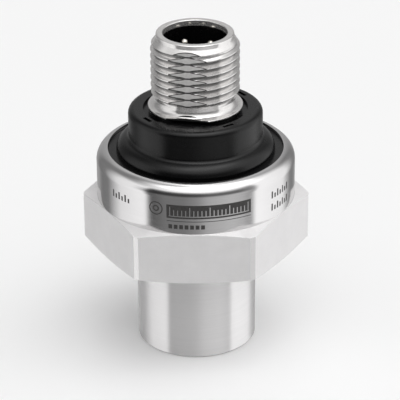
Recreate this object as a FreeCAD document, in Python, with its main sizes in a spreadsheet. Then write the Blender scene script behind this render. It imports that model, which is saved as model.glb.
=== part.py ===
"""Pressure transmitter with a hexagon, a pressure port and a round four-pole plug.

A ceramic pressure cell lies on a seal in the bottom of a turned metal housing.
A support ring, the circuit board and the moulded connector body stand on it,
and the housing's thin collar is rolled in over the body's flange.  A threaded
metal sleeve surrounds the four contact pins on top.

Millimetres and degrees.  +Z is up, and the origin is the centre of the
housing's lower end face.  The hexagon's flats face -Y and +Y.
"""
import FreeCAD, Part
import math
import os
import Sketcher

# ---------------------------------------------------------------- sizes
# Each row: name, value, what it is.
SIZES = [
    # turned housing, outside
    ("spigot_diameter", 16.4, "outside diameter of the port spigot"),
    ("spigot_length", 14.5, "length of the spigot below the hexagon"),
    ("spigot_edge", 0.25, "edge break on the spigot's outer rim"),
    ("hex_across_flats", 27.0, "spanner size"),
    ("hex_height", 7.22, "height of the hexagon"),
    ("corner_turning", 0.218, "depth turned off the six corners"),
    ("hex_chamfer_drop", 0.45, "fall of the chamfer at the corners"),
    ("collar_diameter", 26.9, "outside diameter of the rolled collar"),
    ("collar_wall", 1.1, "wall of the collar"),
    ("roll_height", 1.7, "height over which the collar curves in"),
    ("roll_reach", 1.55, "how far the collar curves in"),
    ("lip_thickness", 0.45, "thickness of the rolled lip at its end"),
    # turned housing, inside
    ("port_bore_diameter", 9.88, "minor diameter of the port thread"),
    ("port_bore_depth", 11.5, "depth of the port bore"),
    ("port_mouth_chamfer", 0.7, "countersink at the mouth of the port"),
    ("drill_cone_height", 2.0, "height of the drill point above the bore"),
    ("passage_diameter", 3.2, "diameter of the passage to the cell"),
    ("seal_groove_diameter", 12.1, "mean diameter of the cell seal's groove"),
    ("seal_groove_width", 2.5, "width of that groove"),
    ("seal_groove_depth", 1.35, "depth of that groove"),
    ("seal_side_gap", 0.2, "room beside the seal in its groove"),
    ("ring_seat_rise", 0.58, "height of the support ring's seat over the hexagon"),
    # ceramic cell
    ("cell_diameter", 18.0, "diameter of the ceramic cell"),
    ("cell_gap", 0.1, "gap round the cell"),
    ("diaphragm_thickness", 0.6, "thickness of the ceramic diaphragm"),
    ("glass_thickness", 0.1, "thickness of the glass joint"),
    ("glass_width", 1.5, "width of the glass joint"),
    ("cell_base_thickness", 5.0, "thickness of the cell's base"),
    ("notch_diameter", 1.4, "diameter of the three rim notches of the cell"),
    ("cell_pin_diameter", 0.5, "diameter of the cell's pins"),
    ("cell_pin_pitch", 2.0, "distance between the cell's pins"),
    ("cell_pin_offset", 5.2, "distance of the pin row from the axis"),
    ("cell_pin_stand", 0.6, "length of the pins above the board"),
    # support ring, seals, board
    ("ring_height", 2.0, "height of the support ring under the skirt"),
    ("ring_collar_height", 1.1, "height of the ring's inner collar"),
    ("housing_fit", 0.05, "gap round the pieces in the collar's bore"),
    ("housing_seal_width", 1.7, "width of the space for the housing seal"),
    ("housing_seal_height", 1.6, "height of the space for the housing seal"),
    ("seal_fit", 0.02, "gap round the housing seal"),
    ("seal_bevel", 0.4, "bevel on the edges of a squeezed seal"),
    ("board_thickness", 0.8, "thickness of the circuit board"),
    ("board_gap", 0.2, "gap round the circuit board"),
    ("hole_gap", 0.05, "gap round a pin in the board"),
    ("spring_thickness", 0.2, "thickness of the earth spring's strip"),
    ("spring_width", 1.6, "width of the earth spring"),
    ("spring_slot_gap", 0.4, "room on each side of the earth spring"),
    ("spring_foot", 2.6, "length of the earth spring's foot"),
    ("spring_tongue", 1.0, "length of the earth spring's tongue"),
    # parts on the board
    ("chip_side", 4.0, "side of the signal chip"),
    ("chip_height", 0.9, "height of the signal chip"),
    ("chip_inset", 2.7, "distance of the chip's centre from the cavity's wall"),
    ("capacitor_length", 1.6, "length of a capacitor"),
    ("capacitor_width", 0.8, "width and height of a capacitor"),
    ("capacitor_pitch", 1.9, "distance between the capacitors"),
    ("capacitor_inset", 2.5, "distance of the capacitors from the cavity's wall"),
    ("resistor_length", 1.6, "length of a resistor"),
    ("resistor_width", 0.8, "width of a resistor"),
    ("resistor_height", 0.45, "height of a resistor"),
    ("resistor_pitch", 2.2, "distance between the resistors"),
    ("resistor_inset", 2.5, "distance of the resistor row from the cavity's wall"),
    ("resistor_shift", 1.2, "sideways shift of the resistor row"),
    ("diode_length", 2.7, "length of the surge diode"),
    ("diode_width", 1.6, "width of the surge diode"),
    ("diode_height", 1.1, "height of the surge diode"),
    ("diode_inset", 3.6, "distance of the surge diode from the cavity's wall, each way"),
    # moulded connector body
    ("flange_thickness", 2.15, "thickness of the flange under the lip"),
    ("flange_edge_height", 0.7, "height of the flange's rounded edge"),
    ("flange_edge_width", 0.45, "width of the flange's rounded edge"),
    ("skirt_wall", 1.45, "wall of the skirt under the flange"),
    ("flare_gap", 1.15, "flat ring between the lip and the flare"),
    ("flare_foot_height", 0.15, "straight foot of the flare"),
    ("flare_radius", 1.85, "radius of the flare"),
    ("foot_radius", 0.6, "fillet between the flare and the neck"),
    ("neck_diameter", 18.11, "diameter of the neck"),
    ("neck_height", 6.125, "height of the neck over the flange"),
    ("neck_edge_radius", 0.76, "rounding of the neck's top edge"),
    ("neck_wall", 1.355, "wall of the neck"),
    ("roof_thickness", 1.775, "thickness of the neck's roof"),
    ("boss_height", 0.65, "height of the boss under the sleeve"),
    ("boss_setback", 0.72, "how far the boss stands in from the sleeve's flange"),
    ("moat_depth", 0.4, "depth of the groove round the boss"),
    ("moat_width", 1.4, "width of that groove"),
    ("moat_front_width", 0.48, "width of that groove along the flat"),
    ("slot_length", 1.6, "length of the four small slots in the neck's top"),
    ("slot_width", 0.5, "width of the slots"),
    ("slot_depth", 0.35, "depth of the slots"),
    ("slot_circle", 15.3, "diameter of the circle the slots lie on"),
    ("insert_rise", 0.4, "height of the insert's face over the boss"),
    ("shroud_wall", 0.45, "wall of the plastic shroud in the sleeve"),
    ("key_width", 0.9, "width of the coding key"),
    ("key_depth", 0.5, "how far the coding key stands into the socket"),
    ("key_setback", 1.1, "distance of the key's end from the shroud's end"),
    # threaded sleeve
    ("thread_diameter", 11.9, "diameter over the thread's crests"),
    ("sleeve_wall", 1.15, "wall of the sleeve at the crests"),
    ("sleeve_height", 10.07, "height of the sleeve"),
    ("sleeve_flange_overhang", 0.42, "how far the sleeve's flange stands out"),
    ("sleeve_flange_height", 0.3, "height of the flange's edge"),
    ("sleeve_flare_height", 1.3, "height of the hollow curve over the flange"),
    ("pilot_setback", 0.75, "how far the plain rim stands in from the crests"),
    ("pilot_height", 0.6, "height of the plain rim"),
    ("lead_in_height", 1.0, "height of the cone between rim and thread"),
    ("thread_pitch", 1.0, "pitch of the thread"),
    ("thread_depth", 0.563, "depth of the thread's grooves"),
    ("thread_root_width", 0.225, "width of a groove's bottom"),
    ("thread_crest_width", 0.125, "width of a crest"),
    ("thread_start", 0.145, "drop of the first groove's middle below the lead-in cone"),
    ("rim_edge", 0.2, "rounding of the rim's outer edge"),
    ("sleeve_lip_height", 0.8, "height of the inner lip over the shroud"),
    ("flat_depth", 0.57, "depth of the milled flat under the crests"),
    ("lock_depth", 0.2, "depth of the sleeve's locking groove"),
    ("lock_height", 0.8, "height of the locking groove"),
    ("lock_rise", 0.5, "height of the locking groove over the boss"),
    ("shroud_fit", 0.05, "gap between the sleeve and the shroud"),
    ("connector_turn", -10.0, "turn of the connector from the hexagon's flat"),
    # contact pins
    ("pin_diameter", 1.0, "diameter of a contact pin"),
    ("pin_circle", 5.0, "diameter of the circle the pins stand on"),
    ("pin_setback", 1.85, "distance of the pin tips below the sleeve's rim"),
    ("pin_fit", 0.02, "gap round a pin in the moulding"),
    ("pin_shoulder_diameter", 1.6, "diameter of a pin's shoulder"),
    ("pin_shoulder_height", 0.5, "height of a pin's shoulder"),
    ("pin_tail_diameter", 0.7, "diameter of a pin's tail"),
    ("pin_tail_stand", 0.6, "length of a tail below the board"),
]
PIN_COUNT = 4
CELL_PIN_COUNT = 4
NOTCH_COUNT = 3
FIRST_PIN_ANGLE = 45.0
CUTTER_MARGIN = 2.0      # how far a cut runs past the metal
SAME = 1e-4              # two lengths closer than this are equal

# ---------------------------------------------------------------- derived places
# Heights over the housing's lower face, and radii, as spreadsheet expressions.
HEX_BOTTOM = "sizes.spigot_length"
HEX_TOP = f"({HEX_BOTTOM} + sizes.hex_height)"
RING_SEAT = f"({HEX_TOP} + sizes.ring_seat_rise)"
CELL_BASE_BOTTOM = f"({RING_SEAT} - sizes.cell_base_thickness)"
GLASS_BOTTOM = f"({CELL_BASE_BOTTOM} - sizes.glass_thickness)"
CELL_SEAT = f"({GLASS_BOTTOM} - sizes.diaphragm_thickness)"
GROOVE_BOTTOM = f"({CELL_SEAT} - sizes.seal_groove_depth)"
SKIRT_BOTTOM = f"({RING_SEAT} + sizes.ring_height)"
FLANGE_BOTTOM = f"({SKIRT_BOTTOM} + sizes.housing_seal_height)"
FLANGE_TOP = f"({FLANGE_BOTTOM} + sizes.flange_thickness)"
LIP_TOP = f"({FLANGE_TOP} + sizes.lip_thickness)"
BOARD_BOTTOM = f"({SKIRT_BOTTOM} + sizes.ring_collar_height)"
BOARD_TOP = f"({BOARD_BOTTOM} + sizes.board_thickness)"
FLARE_BOTTOM = f"({FLANGE_TOP} + sizes.flare_foot_height)"
NECK_TOP = f"({FLANGE_TOP} + sizes.neck_height)"
ROOF = f"({NECK_TOP} - sizes.roof_thickness)"
MOAT_FLOOR = f"({NECK_TOP} - sizes.moat_depth)"
BOSS_TOP = f"({NECK_TOP} + sizes.boss_height)"
INSERT_FACE = f"({BOSS_TOP} + sizes.insert_rise)"
SLEEVE_TOP = f"({BOSS_TOP} + sizes.sleeve_height)"
SHROUD_TOP = f"({SLEEVE_TOP} - sizes.sleeve_lip_height)"
LOCK_BOTTOM = f"({BOSS_TOP} + sizes.lock_rise)"
LOCK_TOP = f"({LOCK_BOTTOM} + sizes.lock_height)"
PIN_TIP = f"({SLEEVE_TOP} - sizes.pin_setback)"

SPIGOT_R = "sizes.spigot_diameter / 2"
HEX_FLAT_R = "sizes.hex_across_flats / 2"
HEX_SHARP_R = f"({HEX_FLAT_R} / cos(30))"
HEX_CORNER_R = f"({HEX_SHARP_R} - sizes.corner_turning)"
COLLAR_R = "sizes.collar_diameter / 2"
LIP_R = f"({COLLAR_R} - sizes.roll_reach)"
COLLAR_BORE_R = f"({COLLAR_R} - sizes.collar_wall)"
PORT_R = "sizes.port_bore_diameter / 2"
PASSAGE_R = "sizes.passage_diameter / 2"
GROOVE_INNER_R = "(sizes.seal_groove_diameter - sizes.seal_groove_width) / 2"
GROOVE_OUTER_R = "(sizes.seal_groove_diameter + sizes.seal_groove_width) / 2"
CELL_R = "sizes.cell_diameter / 2"
CELL_POCKET_R = f"({CELL_R} + sizes.cell_gap)"
FLANGE_R = f"({COLLAR_BORE_R} - sizes.housing_fit)"
SKIRT_R = f"({COLLAR_BORE_R} - sizes.housing_seal_width)"
SKIRT_BORE_R = f"({SKIRT_R} - sizes.skirt_wall)"
RING_COLLAR_R = f"({SKIRT_BORE_R} - sizes.housing_fit)"
BOARD_R = f"({SKIRT_BORE_R} - sizes.board_gap)"
NECK_R = "sizes.neck_diameter / 2"
CAVITY_R = f"({NECK_R} - sizes.neck_wall)"
FLARE_R = f"({LIP_R} - sizes.flare_gap)"
FLARE_AT_NECK = (
    f"({FLARE_BOTTOM} + sqrt(sizes.flare_radius ^ 2"
    f" - ({NECK_R} - {FLARE_R} + sizes.flare_radius) ^ 2))"
)
CREST_R = "sizes.thread_diameter / 2"
SLEEVE_BORE_R = f"({CREST_R} - sizes.sleeve_wall)"
SLEEVE_FLANGE_R = f"({CREST_R} + sizes.sleeve_flange_overhang)"
RIM_R = f"({CREST_R} - sizes.pilot_setback)"
SHROUD_R = f"({SLEEVE_BORE_R} - sizes.shroud_fit)"
SOCKET_R = f"({SHROUD_R} - sizes.shroud_wall)"
LOCK_R = f"({SLEEVE_BORE_R} + sizes.lock_depth)"
BEAD_R = f"({LOCK_R} - sizes.shroud_fit)"
FLAT_FROM_AXIS = f"({CREST_R} - sizes.flat_depth)"
BOSS_R = f"({SLEEVE_FLANGE_R} - sizes.boss_setback)"
MOAT_R = f"({BOSS_R} + sizes.moat_width)"
MOAT_FRONT = f"({FLAT_FROM_AXIS} + sizes.moat_front_width)"

# ---------------------------------------------------------------- document
doc = FreeCAD.newDocument("pressure_transmitter")
sheet = doc.addObject("Spreadsheet::Sheet", "sizes")
for row, (alias, amount, meaning) in enumerate(SIZES, start=1):
    sheet.set(f"A{row}", alias)
    sheet.set(f"B{row}", str(amount))
    sheet.setAlias(f"B{row}", alias)
    sheet.set(f"C{row}", meaning)
doc.recompute()
parts = []


def value(expression):
    """The number that a spreadsheet expression gives."""
    return float(sheet.evalExpression(expression))


# ---------------------------------------------------------------- sketch helpers
def new_body(label):
    """A named body that may hold several separate solids."""
    body = doc.addObject("PartDesign::Body", label)
    body.Label = label
    body.AllowCompound = True
    parts.append(body)
    return body


def new_sketch(body, name, role, height=None, turn=0.0):
    """A sketch on one of the body's own planes, turned in it and raised to a height."""
    sketch = body.newObject("Sketcher::SketchObject", name)
    plane = next(item for item in body.Origin.OriginFeatures if item.Role == role)
    sketch.AttachmentSupport = [(plane, "")]
    sketch.MapMode = "FlatFace"
    sketch.AttachmentOffset = FreeCAD.Placement(
        FreeCAD.Vector(0, 0, 0), FreeCAD.Rotation(FreeCAD.Vector(0, 0, 1), turn))
    if height is not None:
        sketch.setExpression("AttachmentOffset.Base.z", height)
    return sketch


def fix(sketch, kind, first, second, expression):
    """A distance from the sketch's origin, or a radius, tied to the spreadsheet."""
    amount = value(expression)
    if kind == "Radius":
        index = sketch.addConstraint(Sketcher.Constraint(kind, first, amount))
    else:
        index = sketch.addConstraint(Sketcher.Constraint(kind, -1, 1, first, second, amount))
    sketch.setExpression(f"Constraints[{index}]", expression)


def arc_between(start, end, radius):
    """The short arc between two points; its centre lies left of the way when radius > 0."""
    chord = end - start
    middle = (start + end) / 2
    left = FreeCAD.Vector(-chord.y, chord.x, 0).normalize()
    reach = math.sqrt(max(radius ** 2 - (chord.Length / 2) ** 2, 0.0))
    centre = middle + left * math.copysign(reach, radius)
    outward = (middle - centre).normalize()
    return Part.Arc(start, centre + outward * abs(radius), end)


def outline(sketch, corners):
    """A closed outline of lines and arcs.

    A corner is (x, y), or (x, y, radius, side) where an arc runs on from it:
    side is 1 when the arc's centre lies left of the way, and -1 when right.
    """
    points = [FreeCAD.Vector(value(c[0]), value(c[1]), 0) for c in corners]
    count = len(corners)
    first = sketch.GeometryCount
    for i, corner in enumerate(corners):
        start, end = points[i], points[(i + 1) % count]
        if len(corner) == 2:
            sketch.addGeometry(Part.LineSegment(start, end))
        else:
            sketch.addGeometry(arc_between(start, end, value(corner[2]) * corner[3]))
    ends = []
    for i, corner in enumerate(corners):
        # An arc runs anticlockwise, so one with its centre on the right starts at its end.
        turned_round = len(corner) == 4 and corner[3] < 0
        ends.append((2, 1) if turned_round else (1, 2))
    for i, corner in enumerate(corners):
        after = (i + 1) % count
        sketch.addConstraint(Sketcher.Constraint(
            "Coincident", first + i, ends[i][1], first + after, ends[after][0]))
        fix(sketch, "DistanceX", first + i, ends[i][0], corner[0])
        fix(sketch, "DistanceY", first + i, ends[i][0], corner[1])
        if len(corner) == 4:
            fix(sketch, "Radius", first + i, None, corner[2])


def disc(sketch, radius, x="0", y="0"):
    """A full circle."""
    centre = FreeCAD.Vector(value(x), value(y), 0)
    index = sketch.addGeometry(Part.Circle(centre, FreeCAD.Vector(0, 0, 1), value(radius)))
    fix(sketch, "Radius", index, None, radius)
    if (x, y) == ("0", "0"):
        sketch.addConstraint(Sketcher.Constraint("Coincident", index, 3, -1, 1))
    else:
        fix(sketch, "DistanceX", index, 3, x)
        fix(sketch, "DistanceY", index, 3, y)


def box(sketch, x, y, length, width):
    """A rectangle about a centre."""
    corners = []
    for side_x, side_y in ((-1, -1), (1, -1), (1, 1), (-1, 1)):
        corners.append((f"{x} + {side_x} * ({length}) / 2", f"{y} + {side_y} * ({width}) / 2"))
    outline(sketch, corners)


def d_shape(sketch, radius, flat):
    """A circle with a straight side that faces -Y at a distance from the axis."""
    half = f"sqrt(({radius}) ^ 2 - ({flat}) ^ 2)"
    # The long way round: right end, top, left end, as two arcs.
    outline(sketch, [
        (f"-{half}", f"-{flat}"),
        (half, f"-{flat}", radius, 1),
        ("0", radius, radius, 1),
    ])


# ---------------------------------------------------------------- feature helpers
def finish_feature(feature, grows):
    """Recompute, and make sure that the feature added or removed material."""
    doc.recompute()
    base = feature.BaseFeature
    if base is None:
        return feature
    change = feature.Shape.Volume - base.Shape.Volume
    if (change > 0) != grows:
        raise RuntimeError(f"{feature.Name} changes the volume by {change:.3f}")
    return feature


def turned(label, corners):
    """A body turned about Z from an outline of radii and heights."""
    body = new_body(label)
    sketch = new_sketch(body, f"{label}_outline", "XZ_Plane")
    outline(sketch, corners)
    feature = body.newObject("PartDesign::Revolution", f"{label}_turning")
    feature.Profile = sketch
    feature.ReferenceAxis = (sketch, ["V_Axis"])
    feature.Angle = 360
    finish_feature(feature, True)
    return body


def pad(body, name, sketch, length, grows=True):
    """A pad that rises from its sketch."""
    feature = body.newObject("PartDesign::Pad", name)
    feature.Profile = sketch
    feature.setExpression("Length", length)
    sketch.Visibility = False
    return finish_feature(feature, grows)


def groove(body, name, corners):
    """A ring cut away round Z, from an outline of radii and heights."""
    sketch = new_sketch(body, f"{name}_outline", "XZ_Plane")
    outline(sketch, corners)
    feature = body.newObject("PartDesign::Groove", name)
    feature.Profile = sketch
    feature.ReferenceAxis = (sketch, ["V_Axis"])
    feature.Angle = 360
    sketch.Visibility = False
    return finish_feature(feature, False)


def pocket(body, name, sketch, depth, upward=False):
    """A cut that goes down from its sketch, or up."""
    feature = body.newObject("PartDesign::Pocket", name)
    feature.Profile = sketch
    feature.setExpression("Length", depth)
    feature.Reversed = upward
    return finish_feature(feature, False)


def polar(body, name, original, count):
    """Copies of a feature round the Z axis."""
    pattern = body.newObject("PartDesign::PolarPattern", name)
    pattern.Originals = [original]
    axis = next(item for item in body.Origin.OriginFeatures if item.Role == "Z_Axis")
    pattern.Axis = (axis, [""])
    pattern.Angle = 360
    pattern.Occurrences = count
    body.Tip = pattern
    doc.recompute()
    return pattern


def row_up(body, name, original, count, spacing):
    """Copies of a feature one above another."""
    pattern = body.newObject("PartDesign::LinearPattern", name)
    pattern.Originals = [original]
    axis = next(item for item in body.Origin.OriginFeatures if item.Role == "Z_Axis")
    pattern.Direction = (axis, [""])
    pattern.setExpression("Length", f"({spacing}) * {count - 1}")
    pattern.Occurrences = count
    body.Tip = pattern
    doc.recompute()
    return pattern


def ring_edges(shape, radius, height):
    """Names of the round edges about Z with a given radius and height."""
    names = []
    for number, edge in enumerate(shape.Edges, start=1):
        curve = edge.Curve
        if not isinstance(curve, Part.Circle):
            continue
        centre = curve.Center
        if math.hypot(centre.x, centre.y) > SAME:
            continue
        if abs(curve.Radius - value(radius)) < SAME and abs(centre.z - value(height)) < SAME:
            names.append(f"Edge{number}")
    return names


def round_rings(body, name, radius, places):
    """Round the edges of a turned body at pairs of radius and height."""
    base = body.Tip
    edges = []
    for place in places:
        found = ring_edges(base.Shape, *place)
        if not found:
            raise RuntimeError(f"{name}: no edge at {place}")
        edges += found
    feature = body.newObject("PartDesign::Fillet", name)
    feature.Base = (base, edges)
    feature.setExpression("Radius", radius)
    doc.recompute()
    return feature


def turn_with_connector(body):
    """Turn a body about Z with the connector."""
    body.Placement = FreeCAD.Placement(
        FreeCAD.Vector(0, 0, 0), FreeCAD.Rotation(FreeCAD.Vector(0, 0, 1), 1))
    body.setExpression("Placement.Rotation.Angle", "sizes.connector_turn")


def roll_radius(reach, height):
    """Radius of an arc that leaves a wall without a kink and covers reach by height."""
    return f"(({reach}) ^ 2 + ({height}) ^ 2) / (2 * ({reach}))"


# ---------------------------------------------------------------- housing
def make_port_housing():
    """Spigot, hexagon and rolled collar, turned in one piece from hexagon bar."""
    roll = roll_radius("sizes.roll_reach", "sizes.roll_height")
    inner_reach = f"({COLLAR_BORE_R} - {LIP_R})"
    inner_roll = roll_radius(inner_reach, "sizes.flange_edge_height")
    body = turned("port_housing", [
        (f"{PORT_R} + sizes.port_mouth_chamfer", "0"),
        (f"{SPIGOT_R} - sizes.spigot_edge", "0"),
        (SPIGOT_R, "sizes.spigot_edge"),
        (SPIGOT_R, HEX_BOTTOM),
        (HEX_FLAT_R, HEX_BOTTOM),
        (HEX_CORNER_R, f"{HEX_BOTTOM} + sizes.hex_chamfer_drop"),
        (HEX_CORNER_R, f"{HEX_TOP} - sizes.hex_chamfer_drop"),
        (COLLAR_R, HEX_TOP),
        (COLLAR_R, f"{LIP_TOP} - sizes.roll_height", roll, 1),
        (LIP_R, LIP_TOP),
        (LIP_R, FLANGE_TOP, inner_roll, -1),
        (COLLAR_BORE_R, f"{FLANGE_TOP} - sizes.flange_edge_height"),
        (COLLAR_BORE_R, RING_SEAT),
        (CELL_POCKET_R, RING_SEAT),
        (CELL_POCKET_R, CELL_SEAT),
        (GROOVE_OUTER_R, CELL_SEAT),
        (GROOVE_OUTER_R, GROOVE_BOTTOM),
        (GROOVE_INNER_R, GROOVE_BOTTOM),
        (GROOVE_INNER_R, CELL_SEAT),
        (PASSAGE_R, CELL_SEAT),
        (PASSAGE_R, "sizes.port_bore_depth + sizes.drill_cone_height"),
        (PORT_R, "sizes.port_bore_depth"),
        (PORT_R, "sizes.port_mouth_chamfer"),
    ])
    flats = new_sketch(body, "hexagon_outline", "XY_Plane", HEX_BOTTOM)
    disc(flats, f"{HEX_SHARP_R} + {CUTTER_MARGIN}")
    outline(flats, [
        (f"{HEX_SHARP_R} * cos({60 * k})", f"{HEX_SHARP_R} * sin({60 * k})") for k in range(6)])
    pocket(body, "hexagon_flats", flats, "sizes.hex_height", upward=True)
    return body


# ---------------------------------------------------------------- pressure cell
def squeezed_ring(label, inner, outer, bottom, top):
    """A seal ring squeezed flat between its faces, with its corners bevelled off."""
    bevel = "sizes.seal_bevel"
    turned(label, [
        (f"{inner} + {bevel}", bottom),
        (f"{outer} - {bevel}", bottom),
        (outer, f"{bottom} + {bevel}"),
        (outer, f"{top} - {bevel}"),
        (f"{outer} - {bevel}", top),
        (f"{inner} + {bevel}", top),
        (inner, f"{top} - {bevel}"),
        (inner, f"{bottom} + {bevel}"),
    ])


def make_cell():
    """Diaphragm, glass joint and base of the ceramic cell, and its pins."""
    turned("ceramic_diaphragm", [
        ("0", CELL_SEAT), (CELL_R, CELL_SEAT), (CELL_R, GLASS_BOTTOM), ("0", GLASS_BOTTOM),
    ])
    inner = f"({CELL_R} - sizes.glass_width)"
    turned("glass_joint", [
        (inner, GLASS_BOTTOM), (CELL_R, GLASS_BOTTOM),
        (CELL_R, CELL_BASE_BOTTOM), (inner, CELL_BASE_BOTTOM),
    ])
    base = turned("ceramic_base", [
        ("0", CELL_BASE_BOTTOM), (CELL_R, CELL_BASE_BOTTOM), (CELL_R, RING_SEAT), ("0", RING_SEAT),
    ])
    notch = new_sketch(base, "notch_outline", "XY_Plane", RING_SEAT)
    disc(notch, "sizes.notch_diameter / 2", "0", CELL_R)
    cut = pocket(base, "rim_notch", notch, "sizes.cell_base_thickness")
    polar(base, "rim_notches", cut, NOTCH_COUNT)
    turn_with_connector(base)

    pins = new_body("cell_pins")
    places = new_sketch(pins, "cell_pin_places", "XY_Plane", RING_SEAT)
    cell_pin_discs(places, "sizes.cell_pin_diameter / 2")
    height = f"{BOARD_TOP} + sizes.cell_pin_stand - {RING_SEAT}"
    pad(pins, "cell_pin_lengths", places, height)
    turn_with_connector(pins)


def cell_pin_discs(sketch, radius):
    """One circle at the place of each of the cell's pins."""
    for i in range(CELL_PIN_COUNT):
        step = i - (CELL_PIN_COUNT - 1) / 2
        disc(sketch, radius, f"{step} * sizes.cell_pin_pitch", "sizes.cell_pin_offset")


# ---------------------------------------------------------------- support ring, spring
def make_support_ring():
    """Plastic ring that holds the cell down and carries the board."""
    ring_r = f"({COLLAR_BORE_R} - sizes.housing_fit)"
    body = turned("support_ring", [
        (CAVITY_R, RING_SEAT),
        (ring_r, RING_SEAT),
        (ring_r, SKIRT_BOTTOM),
        (RING_COLLAR_R, SKIRT_BOTTOM),
        (RING_COLLAR_R, BOARD_BOTTOM),
        (CAVITY_R, BOARD_BOTTOM),
    ])
    slot = new_sketch(body, "spring_slot_outline", "XY_Plane", RING_SEAT)
    width = "(sizes.spring_width + 2 * sizes.spring_slot_gap)"
    outline(slot, [
        (f"-{ring_r} - {CUTTER_MARGIN}", f"-{width} / 2"),
        (f"-{CAVITY_R} + {CUTTER_MARGIN}", f"-{width} / 2"),
        (f"-{CAVITY_R} + {CUTTER_MARGIN}", f"{width} / 2"),
        (f"-{ring_r} - {CUTTER_MARGIN}", f"{width} / 2"),
    ])
    pocket(body, "spring_slot", slot, f"{BOARD_BOTTOM} - {RING_SEAT}", upward=True)
    turn_with_connector(body)


def make_earth_spring():
    """Folded strip from the housing's ledge to the underside of the board."""
    body = new_body("earth_spring")
    strip = "sizes.spring_thickness"
    riser = f"({RING_COLLAR_R} - {strip})"
    side = new_sketch(body, "spring_side", "XZ_Plane")
    outline(side, [
        (f"-{riser} - sizes.spring_foot", RING_SEAT),
        (f"-{riser} + {strip}", RING_SEAT),
        (f"-{riser} + {strip}", f"{BOARD_BOTTOM} - {strip}"),
        (f"-{riser} + sizes.spring_tongue", f"{BOARD_BOTTOM} - {strip}"),
        (f"-{riser} + sizes.spring_tongue", BOARD_BOTTOM),
        (f"-{riser}", BOARD_BOTTOM),
        (f"-{riser}", f"{RING_SEAT} + {strip}"),
        (f"-{riser} - sizes.spring_foot", f"{RING_SEAT} + {strip}"),
    ])
    feature = body.newObject("PartDesign::Pad", "spring_strip")
    feature.Profile = side
    feature.setExpression("Length", "sizes.spring_width")
    feature.Midplane = True
    finish_feature(feature, True)
    turn_with_connector(body)


# ---------------------------------------------------------------- circuit board
def contact_pin_places():
    """Expressions for the places of the contact pins, counted anticlockwise."""
    circle = "sizes.pin_circle / 2"
    for k in range(PIN_COUNT):
        angle = FIRST_PIN_ANGLE + 360.0 / PIN_COUNT * k
        yield f"{circle} * cos({angle})", f"{circle} * sin({angle})"


def make_circuit_board():
    """Round board with holes for the contact tails and the cell's pins."""
    body = new_body("circuit_board")
    rim = new_sketch(body, "board_outline", "XY_Plane", BOARD_BOTTOM)
    disc(rim, BOARD_R)
    for x, y in contact_pin_places():
        disc(rim, "sizes.pin_tail_diameter / 2 + sizes.hole_gap", x, y)
    cell_pin_discs(rim, "sizes.cell_pin_diameter / 2 + sizes.hole_gap")
    pad(body, "board_plate", rim, "sizes.board_thickness")
    turn_with_connector(body)


def board_blocks(label, places, length, width, height):
    """Like block-shaped parts that stand on the board."""
    body = new_body(label)
    sketch = new_sketch(body, f"{label}_outline", "XY_Plane", BOARD_TOP)
    for x, y in places:
        box(sketch, x, y, length, width)
    pad(body, f"{label}_blocks", sketch, height)
    turn_with_connector(body)


def make_board_parts():
    """Chip, capacitors, resistors and surge diode."""
    board_blocks(
        "signal_chip", [(f"{CAVITY_R} - sizes.chip_inset", "0")],
        "sizes.chip_side", "sizes.chip_side", "sizes.chip_height")
    board_blocks(
        "board_capacitors",
        [(f"sizes.capacitor_inset - {CAVITY_R}", f"{k} * sizes.capacitor_pitch")
         for k in (-1, 0, 1)],
        "sizes.capacitor_length", "sizes.capacitor_width", "sizes.capacitor_width")
    board_blocks(
        "board_resistors",
        [(f"{k} * sizes.resistor_pitch - sizes.resistor_shift",
          f"sizes.resistor_inset - {CAVITY_R}") for k in (-1, 0, 1)],
        "sizes.resistor_length", "sizes.resistor_width", "sizes.resistor_height")
    board_blocks(
        "surge_diode",
        [(f"{CAVITY_R} - sizes.diode_inset", f"sizes.diode_inset - {CAVITY_R}")],
        "sizes.diode_length", "sizes.diode_width", "sizes.diode_height")


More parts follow.
